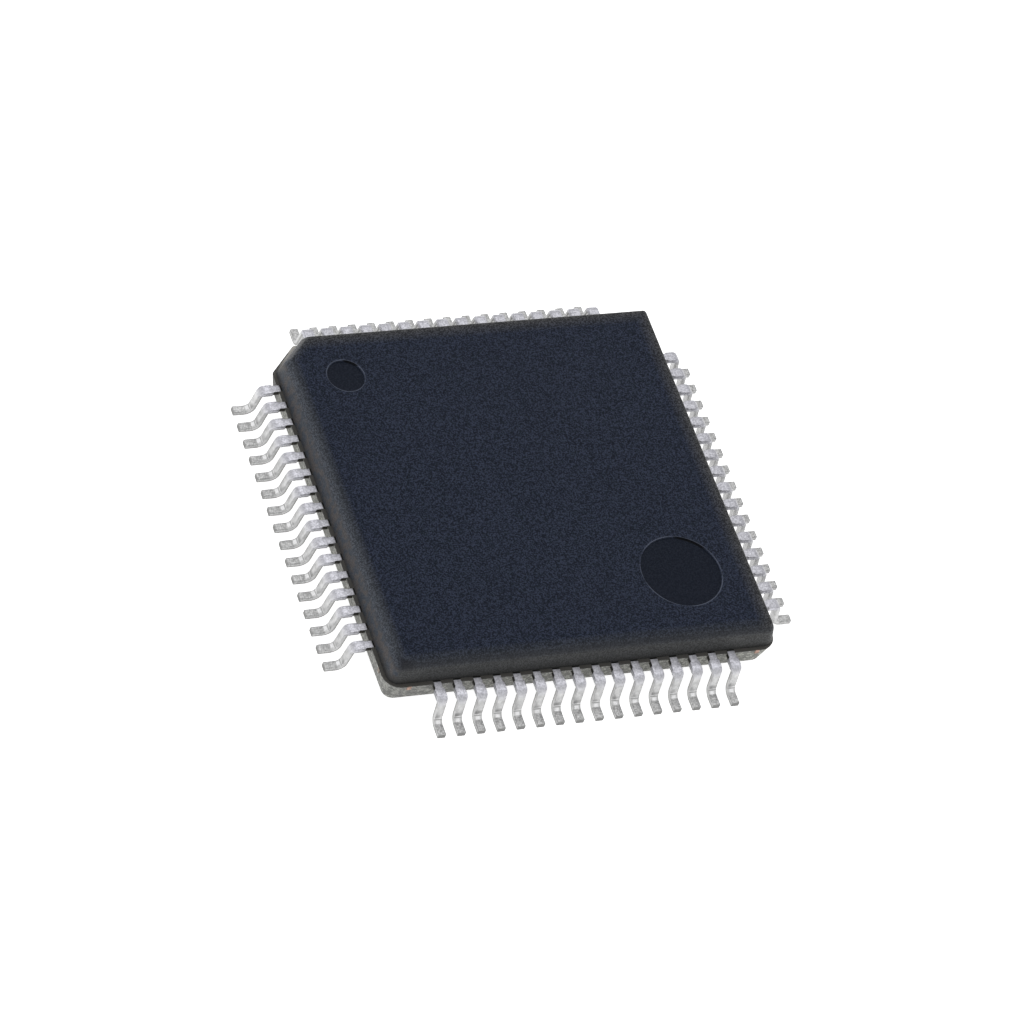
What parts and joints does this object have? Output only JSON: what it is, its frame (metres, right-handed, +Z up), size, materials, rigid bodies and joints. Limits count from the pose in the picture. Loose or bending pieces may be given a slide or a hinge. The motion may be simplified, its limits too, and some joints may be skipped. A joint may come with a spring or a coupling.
{
  "type": "microcontroller chip",
  "caption": "Square black moulded integrated-circuit package with gull-wing leads on all four sides, a cut corner and two round recesses in its top face.",
  "frame": {"origin": "middle of the footprint, on the plane the lead feet stand on", "axes": "+Z up out of the top face; +X and +Y square to the rows of leads, with the marked, cut corner at -X +Y"},
  "size_m": [0.012, 0.012, 0.0015],
  "materials": {
    "mould_compound": "fine matte black epoxy moulding compound",
    "tinned_lead": "matte tin plating over copper alloy",
    "lead_frame_copper": "bare stamped copper alloy",
    "die_adhesive": "cured silver-filled epoxy",
    "silicon": "smooth grey silicon"
  },
  "bodies": {
    "root": {"package_body": "mould_compound", "leads_01_33": "tinned_lead", "leads_02_34": "tinned_lead", "leads_03_35": "tinned_lead", "leads_04_36": "tinned_lead", "leads_05_37": "tinned_lead", "leads_06_38": "tinned_lead", "leads_07_39": "tinned_lead", "leads_08_40": "tinned_lead", "leads_09_41": "tinned_lead", "leads_10_42": "tinned_lead", "leads_11_43": "tinned_lead", "leads_12_44": "tinned_lead", "leads_13_45": "tinned_lead", "leads_14_46": "tinned_lead", "leads_15_47": "tinned_lead", "leads_16_48": "tinned_lead", "leads_17_49": "tinned_lead", "leads_18_50": "tinned_lead", "leads_19_51": "tinned_lead", "leads_20_52": "tinned_lead", "leads_21_53": "tinned_lead", "leads_22_54": "tinned_lead", "leads_23_55": "tinned_lead", "leads_24_56": "tinned_lead", "leads_25_57": "tinned_lead", "leads_26_58": "tinned_lead", "leads_27_59": "tinned_lead", "leads_28_60": "tinned_lead", "leads_29_61": "tinned_lead", "leads_30_62": "tinned_lead", "leads_31_63": "tinned_lead", "leads_32_64": "tinned_lead", "die_paddle": "lead_frame_copper", "die_adhesive": "die_adhesive", "silicon_die": "silicon"}
  },
  "joints": []
}
